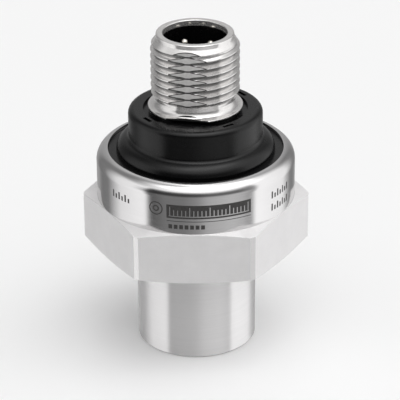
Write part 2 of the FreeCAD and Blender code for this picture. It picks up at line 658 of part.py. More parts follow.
# ---------------------------------------------------------------- connector body
def make_connector_body():
    """Moulded body: skirt, flange, flare, neck, boss, shroud and coding key."""
    edge_roll = roll_radius("sizes.flange_edge_width", "sizes.flange_edge_height")
    body = turned("connector_body", [
        (SKIRT_BORE_R, SKIRT_BOTTOM),
        (SKIRT_R, SKIRT_BOTTOM),
        (SKIRT_R, FLANGE_BOTTOM),
        (FLANGE_R, FLANGE_BOTTOM),
        (FLANGE_R, f"{FLANGE_TOP} - sizes.flange_edge_height", edge_roll, 1),
        (f"{FLANGE_R} - sizes.flange_edge_width", FLANGE_TOP),
        (FLARE_R, FLANGE_TOP),
        (FLARE_R, FLARE_BOTTOM, "sizes.flare_radius", 1),
        (NECK_R, FLARE_AT_NECK),
        (NECK_R, NECK_TOP),
        (SHROUD_R, NECK_TOP),
        (SHROUD_R, f"{LOCK_BOTTOM} + sizes.shroud_fit"),
        (BEAD_R, f"{LOCK_BOTTOM} + sizes.shroud_fit"),
        (BEAD_R, f"{LOCK_TOP} - sizes.shroud_fit"),
        (SHROUD_R, f"{LOCK_TOP} - sizes.shroud_fit"),
        (SHROUD_R, SHROUD_TOP),
        (SOCKET_R, SHROUD_TOP),
        (SOCKET_R, INSERT_FACE),
        ("0", INSERT_FACE),
        ("0", ROOF),
        (CAVITY_R, ROOF),
        (CAVITY_R, BOARD_TOP),
        (SKIRT_BORE_R, BOARD_TOP),
    ])
    round_rings(body, "neck_edge", "sizes.neck_edge_radius", [(NECK_R, NECK_TOP)])
    round_rings(body, "neck_foot", "sizes.foot_radius", [(NECK_R, FLARE_AT_NECK)])

    moat = new_sketch(body, "moat_outline", "XY_Plane", NECK_TOP)
    d_shape(moat, MOAT_R, MOAT_FRONT)
    d_shape(moat, BOSS_R, FLAT_FROM_AXIS)
    pocket(body, "moat", moat, "sizes.moat_depth")

    boss = new_sketch(body, "boss_outline", "XY_Plane", NECK_TOP)
    d_shape(boss, BOSS_R, FLAT_FROM_AXIS)
    disc(boss, SOCKET_R)
    pad(body, "boss", boss, "sizes.boss_height")

    slot = new_sketch(body, "slot_outline", "XY_Plane", NECK_TOP, FIRST_PIN_ANGLE)
    box(slot, "0", "sizes.slot_circle / 2", "sizes.slot_length", "sizes.slot_width")
    cut = pocket(body, "neck_slot", slot, "sizes.slot_depth")
    polar(body, "neck_slots", cut, PIN_COUNT)

    holes = new_sketch(body, "pin_hole_places", "XY_Plane", INSERT_FACE)
    for x, y in contact_pin_places():
        disc(holes, "sizes.pin_diameter / 2 + sizes.pin_fit", x, y)
    pocket(body, "pin_holes", holes, f"{INSERT_FACE} - {ROOF}")

    key = new_sketch(body, "key_outline", "XY_Plane", INSERT_FACE)
    middle = f"-({SOCKET_R} + {SHROUD_R}) / 2"
    outline(key, [
        ("-sizes.key_width / 2", middle),
        ("sizes.key_width / 2", middle),
        ("sizes.key_width / 2", f"-{SOCKET_R} + sizes.key_depth"),
        ("-sizes.key_width / 2", f"-{SOCKET_R} + sizes.key_depth"),
    ])
    pad(body, "coding_key", key, f"{SHROUD_TOP} - sizes.key_setback - {INSERT_FACE}")
    turn_with_connector(body)


# ---------------------------------------------------------------- threaded sleeve
def make_threaded_sleeve():
    """Metal sleeve with its flange, its thread as rings at their pitch, flat and inner lip."""
    hollow = roll_radius("sizes.sleeve_flange_overhang", "sizes.sleeve_flare_height")
    flange_top = f"({BOSS_TOP} + sizes.sleeve_flange_height)"
    pilot_bottom = f"({SLEEVE_TOP} - sizes.pilot_height)"
    body = turned("threaded_sleeve", [
        (SLEEVE_BORE_R, BOSS_TOP),
        (SLEEVE_FLANGE_R, BOSS_TOP),
        (SLEEVE_FLANGE_R, flange_top, hollow, -1),
        (CREST_R, f"{flange_top} + sizes.sleeve_flare_height"),
        (CREST_R, f"{pilot_bottom} - sizes.lead_in_height"),
        (RIM_R, pilot_bottom),
        (RIM_R, SLEEVE_TOP),
        (SOCKET_R, SLEEVE_TOP),
        (SOCKET_R, SHROUD_TOP),
        (SLEEVE_BORE_R, SHROUD_TOP),
        (SLEEVE_BORE_R, LOCK_TOP),
        (LOCK_R, LOCK_TOP),
        (LOCK_R, LOCK_BOTTOM),
        (SLEEVE_BORE_R, LOCK_BOTTOM),
    ])
    round_rings(body, "rim_edges", "sizes.rim_edge", [(RIM_R, SLEEVE_TOP), (SOCKET_R, SLEEVE_TOP)])

    crest_bottom = f"({flange_top} + sizes.sleeve_flare_height)"
    crest_top = f"({pilot_bottom} - sizes.lead_in_height)"
    count = math.floor(value(f"({crest_top} - {crest_bottom}) / sizes.thread_pitch")) + 1
    middle = f"({crest_top} - sizes.thread_start - {count - 1} * sizes.thread_pitch)"
    root = f"({CREST_R} - sizes.thread_depth)"
    mouth = "(sizes.thread_pitch - sizes.thread_crest_width) / 2"
    bottom = "sizes.thread_root_width / 2"
    cut = groove(body, "thread_groove", [
        (root, f"{middle} - {bottom}"),
        (CREST_R, f"{middle} - {mouth}"),
        (f"{CREST_R} + {CUTTER_MARGIN}", f"{middle} - {mouth}"),
        (f"{CREST_R} + {CUTTER_MARGIN}", f"{middle} + {mouth}"),
        (CREST_R, f"{middle} + {mouth}"),
        (root, f"{middle} + {bottom}"),
    ])
    row_up(body, "thread_grooves", cut, count, "sizes.thread_pitch")

    flat = new_sketch(body, "flat_outline", "XY_Plane", BOSS_TOP)
    outside = f"({SLEEVE_FLANGE_R} + {CUTTER_MARGIN})"
    outline(flat, [
        (f"-{outside}", f"-{outside}"),
        (outside, f"-{outside}"),
        (outside, f"-{FLAT_FROM_AXIS}"),
        (f"-{outside}", f"-{FLAT_FROM_AXIS}"),
    ])
    pocket(body, "milled_flat", flat, "sizes.sleeve_height", upward=True)
    turn_with_connector(body)


# ---------------------------------------------------------------- contact pins
def make_contact_pins():
    """Four turned pins: rounded contact, shoulder under the roof, solder tail."""
    shoulder_bottom = f"({ROOF} - sizes.pin_shoulder_height)"
    tail_r = "sizes.pin_tail_diameter / 2"
    pin_r = "sizes.pin_diameter / 2"
    shoulder_r = "sizes.pin_shoulder_diameter / 2"
    for number, (x, y) in enumerate(contact_pin_places(), start=1):
        body = turned(f"contact_pin_{number}", [
            ("0", f"{BOARD_BOTTOM} - sizes.pin_tail_stand"),
            (tail_r, f"{BOARD_BOTTOM} - sizes.pin_tail_stand"),
            (tail_r, shoulder_bottom),
            (shoulder_r, shoulder_bottom),
            (shoulder_r, ROOF),
            (pin_r, ROOF),
            (pin_r, f"{PIN_TIP} - {pin_r}", pin_r, 1),
            ("0", PIN_TIP),
        ])
        body.Placement = FreeCAD.Placement(
            FreeCAD.Vector(0, 0, 0), FreeCAD.Rotation(FreeCAD.Vector(0, 0, 1), 1))
        turn = "sizes.connector_turn"
        body.setExpression("Placement.Base.x", f"({x}) * cos({turn}) - ({y}) * sin({turn})")
        body.setExpression("Placement.Base.y", f"({x}) * sin({turn}) + ({y}) * cos({turn})")
        body.setExpression("Placement.Rotation.Angle", turn)


# ---------------------------------------------------------------- the whole transmitter
def main():
    """Build every piece, check it and write it."""
    make_port_housing()
    squeezed_ring(
        "cell_seal", f"{GROOVE_INNER_R} + sizes.seal_side_gap",
        f"{GROOVE_OUTER_R} - sizes.seal_side_gap", GROOVE_BOTTOM, CELL_SEAT)
    make_cell()
    make_support_ring()
    make_earth_spring()
    make_circuit_board()
    make_board_parts()
    squeezed_ring(
        "housing_seal", f"{SKIRT_R} + sizes.seal_fit",
        f"{COLLAR_BORE_R} - sizes.seal_fit", SKIRT_BOTTOM, FLANGE_BOTTOM)
    make_connector_body()
    make_threaded_sleeve()
    make_contact_pins()
    doc.recompute()

    for item in doc.Objects:
        if "Invalid" in item.State or "Error" in item.State:
            raise RuntimeError(f"{item.Label} failed: {item.State}")
    for body in parts:
        if body.Shape.isNull() or not body.Shape.isValid():
            raise RuntimeError(f"{body.Label} has no valid shape")
    os.makedirs("parts", exist_ok=True)
    for body in parts:
        body.Shape.exportStep(f"parts/{body.Label}.step")
        low, high = body.Shape.BoundBox.ZMin, body.Shape.BoundBox.ZMax
        print(f"{body.Label}: {len(body.Shape.Solids)} solid(s), {body.Shape.Volume:.2f} mm3,"
              f" z {low:.3f} to {high:.3f}")


main()
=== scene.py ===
"""Pressure transmitter: the looks of its housing, connector, markings and stage.

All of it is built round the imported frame.
"""

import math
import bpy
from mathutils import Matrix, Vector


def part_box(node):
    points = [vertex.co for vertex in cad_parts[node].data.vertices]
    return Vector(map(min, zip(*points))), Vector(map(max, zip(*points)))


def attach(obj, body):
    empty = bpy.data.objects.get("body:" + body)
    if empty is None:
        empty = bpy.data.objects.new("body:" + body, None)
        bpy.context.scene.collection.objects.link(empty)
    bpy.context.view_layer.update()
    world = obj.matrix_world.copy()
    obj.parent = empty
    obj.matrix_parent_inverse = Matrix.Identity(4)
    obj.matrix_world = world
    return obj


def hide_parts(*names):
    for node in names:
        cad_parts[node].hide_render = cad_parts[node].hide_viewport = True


bl_info = {
    "name": "Pressure Transmitter",
    "version": (1, 0, 0),
    "blender": (4, 5, 0),
    "location": "3D View > Sidebar > Transmitter",
    "description": "Builds a pressure transmitter with a turned steel housing and a round threaded connector",
    "category": "Object",
}

import bmesh
import bpy
from bpy.props import FloatProperty, FloatVectorProperty, PointerProperty
from mathutils import Matrix, Vector

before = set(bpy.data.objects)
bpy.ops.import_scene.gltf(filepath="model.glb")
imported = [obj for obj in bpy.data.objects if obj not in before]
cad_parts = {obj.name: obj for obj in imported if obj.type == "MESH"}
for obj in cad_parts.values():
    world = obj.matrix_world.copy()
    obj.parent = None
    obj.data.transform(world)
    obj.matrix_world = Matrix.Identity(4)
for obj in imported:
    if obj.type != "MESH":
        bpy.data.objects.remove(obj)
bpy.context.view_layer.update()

MM = 0.001
WELD = 1e-7       # points closer than this many metres are one
PARALLEL = 0.999  # cosine above which two directions count as one
HOUSING_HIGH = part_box("port_housing")[1]
SLEEVE_LOW, SLEEVE_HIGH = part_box("threaded_sleeve")

# Brightness of the studio's walls and ceiling, as (degrees round from the camera, grey).
WALL_LIGHT = (
    (-180, 0.45), (-152, 0.35), (-140, 0.2), (-122, 0.22), (-110, 0.55), (-98, 0.9), (-61, 1.1), (-56, 0.3),
    (-53, 0.1), (-47, 0.14), (-36, 0.2), (-14, 0.21), (2, 0.3), (14, 0.47), (42, 0.58), (56, 0.52), (63, 0.4),
    (68, 0.42), (73, 1.2), (120, 1.0), (130, 0.55), (140, 0.25), (150, 0.22), (162, 0.35), (180, 0.45),
)
CEILING_LIGHT = (
    (-180, 0.9), (-140, 0.25), (-118, 0.2), (-96, 0.4), (-60, 0.87), (-30, 1.2), (0, 1.35), (40, 1.36),
    (90, 1.4), (120, 0.9), (140, 0.4), (160, 0.5), (180, 0.9),
)


# ------------------------------------------------------------------ hand work
def deselect_everything():
    """Leaves nothing selected, so that the next operator acts on its own piece alone."""
    bpy.ops.object.select_all(action="DESELECT")


def pick(piece):
    """Makes a piece the only selected and the active one."""
    deselect_everything()
    piece.select_set(True)
    bpy.context.view_layer.objects.active = piece


def edit(piece):
    """Opens a piece in edit mode with all of it selected."""
    pick(piece)
    bpy.ops.object.mode_set(mode="EDIT")
    bpy.ops.mesh.select_all(action="SELECT")


def leave_edit():
    """Goes back to object mode."""
    bpy.ops.object.mode_set(mode="OBJECT")


def draw_section(name, corners, closed=True):
    """Draws a section in the plane y = 0, corner after corner, as (radius, height) in millimetres."""
    deselect_everything()
    bpy.ops.mesh.primitive_plane_add(size=MM, location=(0, 0, 0))
    piece = bpy.context.object
    piece.name = piece.data.name = name
    bpy.ops.object.mode_set(mode="EDIT")
    bpy.ops.mesh.select_mode(type="VERT")
    bpy.ops.mesh.select_all(action="SELECT")
    bpy.ops.mesh.merge(type="CENTER")
    bpy.ops.transform.translate(value=(corners[0][0] * MM, 0, corners[0][1] * MM))
    for (r0, z0), (r1, z1) in zip(corners, corners[1:]):
        bpy.ops.mesh.extrude_vertices_move(
            TRANSFORM_OT_translate={"value": ((r1 - r0) * MM, 0, (z1 - z0) * MM)})
    if closed:
        mesh = bmesh.from_edit_mesh(piece.data)
        for vert in mesh.verts:
            vert.select = len(vert.link_edges) == 1
        mesh.select_flush_mode()
        bmesh.update_edit_mesh(piece.data)
        bpy.ops.mesh.edge_face_add()
    leave_edit()
    return piece


def arc(r0, z0, r1, z1, radius, steps):
    """Points of an arc that leaves (r0, z0) upright and curves to (r1, z1), both ends left out."""
    side = 1 if r1 < r0 else -1
    middle = r0 - side * radius
    turn = math.asin(min(1.0, (z1 - z0) / radius))
    return [(middle + side * radius * math.cos(turn * k / steps), z0 + radius * math.sin(turn * k / steps))
            for k in range(1, steps)]


def spin_section(piece, steps):
    """Spins a closed section round the axis, welds its ends and turns its faces outwards."""
    edit(piece)
    bpy.ops.mesh.spin(steps=steps, angle=math.tau, center=(0, 0, 0), axis=(0, 0, 1))
    bpy.ops.mesh.select_all(action="SELECT")
    bpy.ops.mesh.remove_doubles(threshold=WELD)
    bpy.ops.mesh.normals_make_consistent(inside=False)
    leave_edit()


def select_rings(piece, rings):
    """Selects the edges that run round the axis at given (radius, height) places, in millimetres."""
    near = 0.004
    bpy.ops.mesh.select_mode(type="EDGE")
    bpy.ops.mesh.select_all(action="DESELECT")
    mesh = bmesh.from_edit_mesh(piece.data)
    for edge in mesh.edges:
        places = [(math.hypot(v.co.x, v.co.y) / MM, v.co.z / MM) for v in edge.verts]
        edge.select = any(all(abs(r - ring[0]) < near and abs(z - ring[1]) < near for r, z in places)
                          for ring in rings)
    mesh.select_flush_mode()
    bmesh.update_edit_mesh(piece.data)


def round_rings(piece, width, segments, rings):
    """Bevels the corners that run round a turned piece."""
    edit(piece)
    select_rings(piece, rings)
    bpy.ops.mesh.bevel(offset_type="OFFSET", offset=width * MM, segments=segments, profile=0.5,
                       affect="EDGES", clamp_overlap=True)
    leave_edit()


def cut_flat(piece, distance, facing):
    """Cuts away all that lies beyond a plane at a distance from the axis, and closes the cut."""
    edit(piece)
    normal = facing.normalized()
    bpy.ops.mesh.bisect(plane_co=normal * distance * MM, plane_no=normal, use_fill=True,
                        clear_outer=True, threshold=WELD)
    leave_edit()


def finish_with(piece, kind, **settings):
    """Adds a modifier with its settings and applies it."""
    pick(piece)
    bpy.ops.object.modifier_add(type=kind)
    modifier = piece.modifiers[-1]
    for key, value in settings.items():
        setattr(modifier, key, value)
    bpy.ops.object.modifier_apply(modifier=modifier.name)


def wind_cutter(name, section, pitch, turns):
    """Winds a closed section up the axis as a right-hand screw, and caps its two ends."""
    steps = 96
    cutter = draw_section(name, section)
    finish_with(cutter, "SCREW", axis="Z", angle=math.tau, screw_offset=pitch * MM, iterations=turns,
                steps=steps, render_steps=steps, use_merge_vertices=False)
    edit(cutter)
    bpy.ops.mesh.remove_doubles(threshold=WELD)
    bpy.ops.mesh.select_mode(type="EDGE")
    bpy.ops.mesh.select_all(action="DESELECT")
    bpy.ops.mesh.select_non_manifold()
    bpy.ops.mesh.fill_holes(sides=0)
    bpy.ops.mesh.select_all(action="SELECT")
    bpy.ops.mesh.normals_make_consistent(inside=False)
    leave_edit()
    return cutter


def cut_away(piece, cutter):
    """Takes a cutter's shape out of a piece and throws the cutter away."""
    finish_with(piece, "BOOLEAN", operation="DIFFERENCE", object=cutter, solver="EXACT")
    bpy.data.objects.remove(cutter)


def smooth_over(piece, degrees):
    """Shades a piece smooth, apart from corners sharper than the given angle."""
    pick(piece)
    bpy.ops.object.shade_smooth_by_angle(angle=math.radians(degrees))


def give(piece, slot, *nodes):
    """Lets a piece ride with the transmitter and stand for CAD nodes, which it hides."""
    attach(piece, "root")
    if nodes:
        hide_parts(*nodes)


# ------------------------------------------------------------------ node work
class Nodes:
    """A node tree, with one short call for each kind of node it needs."""

    def __init__(self, tree, place):
        self.tree = tree
        self.place = self.node("ShaderNodeTexCoord").outputs[place]

    def node(self, kind, **settings):
        """Adds a node with its settings."""
        made = self.tree.nodes.new(kind)
        for key, value in settings.items():
            setattr(made, key, value)
        return made

    def put(self, target, value):
        """Links a socket, or sets a plain value."""
        if isinstance(value, bpy.types.NodeSocket):
            self.tree.links.new(value, target)
        elif target.type == "RGBA":
            target.default_value = (*value[:3], 1.0)
        else:
            target.default_value = value

    def sum(self, operation, *values):
        """Works out one sum of numbers or sockets."""
        made = self.node("ShaderNodeMath", operation=operation)
        for socket, value in zip(made.inputs, values):
            self.put(socket, value)
        return made.outputs[0]

    def parts(self):
        """Splits the place into x, y and z."""
        made = self.node("ShaderNodeSeparateXYZ")
        self.put(made.inputs[0], self.place)
        return made.outputs

    def scaled(self, vector, factor):
        """Multiplies a vector or colour by a factor."""
        made = self.node("ShaderNodeVectorMath", operation="SCALE")
        self.put(made.inputs[0], vector)
        self.put(made.inputs["Scale"], factor)
        return made.outputs[0]

    def between(self, factor, low, high, start=0.0, end=1.0, curve="LINEAR"):
        """Maps a factor from start..end to low..high."""
        made = self.node("ShaderNodeMapRange", interpolation_type=curve)
        for key, value in (("Value", factor), ("From Min", start), ("From Max", end),
                           ("To Min", low), ("To Max", high)):
            self.put(made.inputs[key], value)
        return made.outputs[0]

    def blend(self, factor, first, second):
        """Blends two colours."""
        made = self.node("ShaderNodeMix", data_type="RGBA")
        for socket, value in zip((made.inputs[0], made.inputs[6], made.inputs[7]), (factor, first, second)):
            self.put(socket, value)
        return made.outputs[2]


class Finish(Nodes):
    """A material, with the calls that its texture and its shader need."""

    def __init__(self, name):
        self.material = bpy.data.materials.new(name)
        self.material.use_nodes = True
        super().__init__(self.material.node_tree, "Object")
        self.shader = next(n for n in self.tree.nodes if n.type == "BSDF_PRINCIPLED")

    def set(self, **values):
        """Sets the shader's own sockets; an underscore in a name stands for a space."""
        for key, value in values.items():
            self.put(self.shader.inputs[key.replace("_", " ")], value)

    def radius(self):
        """Distance from the transmitter's axis."""
        x, y, _ = self.parts()
        return self.sum("SQRT", self.sum("ADD", self.sum("MULTIPLY", x, x), self.sum("MULTIPLY", y, y)))

    def stretched(self, scale):
        """The place, scaled along each axis."""
        made = self.node("ShaderNodeMapping")
        self.put(made.inputs["Vector"], self.place)
        self.put(made.inputs["Scale"], scale)
        return made.outputs[0]

    def noise(self, scale, detail=3.0, rough=0.55, place=None):
        """Noise over the piece, or over a stretched place."""
        made = self.node("ShaderNodeTexNoise")
        for key, value in (("Vector", place or self.place), ("Scale", scale), ("Detail", detail),
                           ("Roughness", rough)):
            self.put(made.inputs[key], value)
        return made.outputs["Fac"]

    def bump(self, height, depth):
        """Raises the surface by a height of up to the given depth in millimetres."""
        made = self.node("ShaderNodeBump")
        for key, value in (("Strength", 1.0), ("Distance", depth * MM), ("Height", height)):
            self.put(made.inputs[key], value)
        self.set(Normal=made.outputs[0])


def shade(colour, factor):
    """A colour made darker or lighter, and no lighter than white."""
    return tuple(min(1.0, factor * part) for part in colour)


def grained(name, scale, dark, light, roughness, depth=None, detail=3.0, metallic=0.0):
    """A material whose colour, roughness and surface follow one fine grain."""
    finish = Finish(name)
    grain = finish.noise(scale, detail)
    finish.set(Base_Color=finish.blend(grain, dark, light), Metallic=metallic,
               Roughness=finish.between(grain, *roughness))
    if depth:
        finish.bump(grain, depth)
    return finish.material


def turned_metal(name, colour, roughness, depth, metallic=1.0):
    """Metal with the fine rings that a lathe leaves."""
    stretch, level_share, spread = 45.0, 0.9, 0.015
    finish = Finish(name)
    x, y, z = finish.parts()
    along = finish.sum("ADD", z, finish.sum("MULTIPLY", finish.radius(), level_share))
    rings = finish.node("ShaderNodeCombineXYZ")
    for socket, value in zip(rings.inputs, (x, y, finish.sum("MULTIPLY", along, stretch))):
        finish.put(socket, value)
    coarse = finish.noise(90.0, 2.0, 0.5, rings.outputs[0])
    fine = finish.noise(240.0, 2.0, 0.5, rings.outputs[0])
    worn = finish.noise(260.0, 4.0)
    grain = finish.sum("ADD", finish.sum("MULTIPLY", coarse, 0.5), finish.sum("MULTIPLY", fine, 0.5))
    tangent = finish.node("ShaderNodeTangent", direction_type="RADIAL", axis="Z")
    finish.set(
        Base_Color=finish.blend(finish.between(grain, 0.0, 1.0, 0.3, 0.7), shade(colour, 0.94), colour),
        Metallic=metallic,
        Roughness=finish.sum("ADD", finish.between(grain, -0.02, 0.02, 0.3, 0.7),
                             finish.between(worn, roughness - spread, roughness + spread, 0.3, 0.7)),
        Anisotropic=0.25,
        Anisotropic_Rotation=0.25,
        Tangent=tangent.outputs[0],
    )
    finish.bump(grain, depth)
    return finish.material


# ------------------------------------------------------------------ settings
def length(name, default_mm, description):
    """A length property, given in millimetres and kept in metres."""
    return FloatProperty(name=name, description=description, default=default_mm * MM, min=0.0,
                         precision=5, unit="LENGTH", subtype="DISTANCE")


def colour(name, default, description):
    """A colour property."""
    return FloatVectorProperty(name=name, description=description, default=default, size=3,
                               min=0.0, max=1.0, subtype="COLOR")


class HousingSettings(bpy.types.PropertyGroup):
    """Sizes of the turned housing that show."""
    spigot_radius: length("Spigot radius", 8.2, "Outside radius of the port spigot")
    spigot_length: length("Spigot length", 14.5, "Height of the hexagon's lower face over the port face")
    hex_height: length("Hexagon height", 7.22, "Height of the hexagon")
    hex_flat: length("Half across flats", 13.5, "Distance of a flat from the axis")
    hex_corner: length("Turned corner radius", 15.37, "Radius that the six corners are turned to")
    collar_radius: length("Collar radius", 13.45, "Outside radius of the rolled collar")
    lip_radius: length("Lip radius", 11.9, "Radius of the rolled lip's opening")
    steel: colour("Steel", (0.80, 0.79, 0.793), "Colour of the turned steel")
    steel_roughness: FloatProperty(name="Steel roughness", description="Mean roughness of the turned steel",
                                   default=0.15, min=0.05, max=1.0)


class SleeveSettings(bpy.types.PropertyGroup):
    """Sizes of the threaded sleeve."""
    crest_radius: length("Crest radius", 5.95, "Radius over the thread's crests")
    root_radius: length("Root radius", 5.387, "Radius at the thread's roots")
    pitch: length("Pitch", 1.0, "Pitch of the thread")
    flat_distance: length("Flat distance", 5.376, "Distance of the milled flat from the axis")
    flat_turn: FloatProperty(name="Turn of the flat",
                             description="Turn of the milled flat from the hexagon's flat",
                             default=math.radians(-10.0), subtype="ANGLE")
    nickel: colour("Nickel", (0.86, 0.845, 0.835), "Colour of the nickel plating")


class MarkSettings(bpy.types.PropertyGroup):
    """Places of the marks on the collar."""
    band_bottom: length("Band bottom", 23.99, "Height of the dark band's lower edge")
    band_height: length("Band height", 1.95, "Height of the dark band")
    band_start: FloatProperty(name="Band start", description="Angle of the band's left end from the front",
                              default=math.radians(-15.7), subtype="ANGLE")
    band_end: FloatProperty(name="Band end", description="Angle of the band's right end from the front",
                            default=math.radians(33.3), subtype="ANGLE")
    ink: colour("Mark", (0.055, 0.053, 0.052), "Colour of the laser marks")


class StageSettings(bpy.types.PropertyGroup):
    """Camera and light."""
    lens: FloatProperty(name="Lens", description="Focal length of the camera in millimetres",
                        default=181.28, min=20.0, max=400.0)
    distance: length("Distance", 276.08, "Distance of the camera from the point it turns round")
    aim_height: length("Aim height", 20.2, "Height of that point over the port face")
    azimuth: FloatProperty(name="Azimuth", description="Turn of the camera from the front",
                           default=math.radians(1.02), subtype="ANGLE")
    elevation: FloatProperty(name="Elevation", description="Angle of the camera over the floor",
                             default=math.radians(26.147), subtype="ANGLE")
    roll: FloatProperty(name="Roll", description="Turn of the camera about its own view",
                        default=math.radians(-0.370), subtype="ANGLE")
    pan: FloatProperty(name="Pan", description="Turn of the camera to the right of the axis",
                       default=math.radians(0.11321463), subtype="ANGLE")
    glow: FloatProperty(name="Studio light", description="Strength of the studio's soft light",
                        default=1.0, min=0.0, max=10.0)


# ------------------------------------------------------------------ pieces
class TRANSMITTER_OT_turn_housing(bpy.types.Operator):
    """Turn the housing from hexagon bar, mill its flats and cut the port's thread"""
    bl_idname = "transmitter.turn_housing"
    bl_label = "Turn Housing"

    def execute(self, context):
        sizes = context.scene.transmitter_housing
        housing = draw_section("steel_housing", self.section(sizes))
        spin_section(housing, 288)
        flats = [Vector((math.cos(turn), math.sin(turn), 0))
                 for turn in (math.radians(30 + 60 * k) for k in range(6))]
        for facing in flats:
            cut_flat(housing, sizes.hex_flat / MM, facing)
        finish_with(housing, "BEVEL", width=0.06 * MM, segments=2, limit_method="ANGLE",
                    angle_limit=math.radians(24), use_clamp_overlap=True)
        cut_away(housing, self.tap())
        smooth_over(housing, 40)
        finish_with(housing, "WEIGHTED_NORMAL", keep_sharp=True, weight=80)
        give(housing, "turned_steel", "port_housing")
        self.paint(housing, sizes, flats)
        return {"FINISHED"}

    @staticmethod
    def section(sizes):
        """Half of the housing's section: outside from the port up, rolled lip, then down inside."""
        spigot, low = sizes.spigot_radius / MM, sizes.spigot_length / MM
        top = low + sizes.hex_height / MM
        flat, corner = sizes.hex_flat / MM, sizes.hex_corner / MM
        collar, lip = sizes.collar_radius / MM, sizes.lip_radius / MM
        lip_top = HOUSING_HIGH.z / MM
        lip_bottom = lip_top - 0.45
        bore = collar - 1.1
        roll_height, inner_roll_height = 1.7, 0.7
        roll_low, inner_roll_low = lip_top - roll_height, lip_bottom - inner_roll_height
        roll = ((collar - lip) ** 2 + roll_height ** 2) / (2 * (collar - lip))
        inner_roll = ((bore - lip) ** 2 + inner_roll_height ** 2) / (2 * (bore - lip))
        ledge, cell_bore, groove_out, groove_in, passage, port = 9.1, 9.1, 7.3, 4.8, 1.6, 4.94
        ledge_top, cell_seat, groove_floor, drill_top, port_top = 22.3, 16.6, 15.25, 13.5, 11.5
        edge, countersink, chamfer, step = 0.25, 0.7, 0.45, 0.02
        return [
            (port + countersink, 0.0), (spigot - edge, 0.0), (spigot, edge), (spigot, low),
            (flat - step, low), (corner, low + chamfer), (corner, top - chamfer), (collar, top),
            (collar, roll_low), *arc(collar, roll_low, lip, lip_top, roll, 14), (lip, lip_top),
            (lip, lip_bottom), *reversed(arc(bore, inner_roll_low, lip, lip_bottom, inner_roll, 5)),
            (bore, inner_roll_low), (bore, ledge_top), (ledge, ledge_top), (cell_bore, cell_seat),
            (groove_out, cell_seat), (groove_out, groove_floor), (groove_in, groove_floor),
            (groove_in, cell_seat), (passage, cell_seat), (passage, drill_top), (port, port_top),
            (port, countersink),
        ]

    @staticmethod
    def tap():
        """The screw-shaped space that the port's thread takes out of the bore's wall."""
        inner, outer, middle = 4.7, 5.55, -1.5
        wide, narrow, pitch, turns = 0.61, 0.12, 1.27, 9
        return wind_cutter("port_thread_cutter", [
            (inner, middle - wide), (outer, middle - narrow),
            (outer, middle + narrow), (inner, middle + wide),
        ], pitch, turns)

    def paint(self, housing, sizes, flats):
        """Turned steel on the collar, drawn bar on the hexagon, and bright turning on the spigot."""
        turned, bar, bright_turned = range(3)
        bright = shade(sizes.steel, 1.13)
        housing.data.materials.clear()
        for made in (turned_metal("turned_steel_finish", tuple(sizes.steel), sizes.steel_roughness, 0.0004),
                     self.bar_steel(bright),
                     turned_metal("spigot_steel_finish", bright, 0.2, 0.0005, metallic=0.45)):
            housing.data.materials.append(made)
        spigot, low = sizes.spigot_radius / MM, sizes.spigot_length / MM
        flat, top = sizes.hex_flat / MM, low + sizes.hex_height / MM
        near, collar_foot, collar_gap, spigot_wall = 0.01, 0.6, 0.03, 2.4
        for face in housing.data.polygons:
            across, height = math.hypot(face.center.x, face.center.y) / MM, face.center.z / MM
            if low - near < height < top + near and across > spigot:
                level = abs(face.normal.z) > 0.9
                milled = any(face.normal.dot(facing) > PARALLEL for facing in flats)
                face.material_index = bar if milled or level else bright_turned
                if height > top - collar_foot and across < flat - collar_gap:
                    face.material_index = turned
            elif height < low and across > spigot - spigot_wall:
                face.material_index = bright_turned

    @staticmethod
    def bar_steel(steel):
        """Bright drawn bar: a quieter, softer shine than the turned faces."""
        finish = Finish("hexagon_bar_finish")
        cloud = finish.noise(420.0, 5.0, 0.65)
        drawn = finish.noise(1.0, 3.0, 0.6, finish.stretched((5200.0, 5200.0, 260.0)))
        cloudy = finish.between(cloud, 0.0, 1.0, 0.35, 0.65)
        finish.set(
            Base_Color=finish.blend(cloudy, shade(steel, 0.925), shade(steel, 0.965)),
            Metallic=0.25,
            Roughness=finish.sum("ADD", finish.between(cloud, 0.46, 0.5, 0.3, 0.7),
                                 finish.between(drawn, -0.03, 0.03, 0.3, 0.7)),
        )
        finish.bump(drawn, 0.003)
        return finish.material


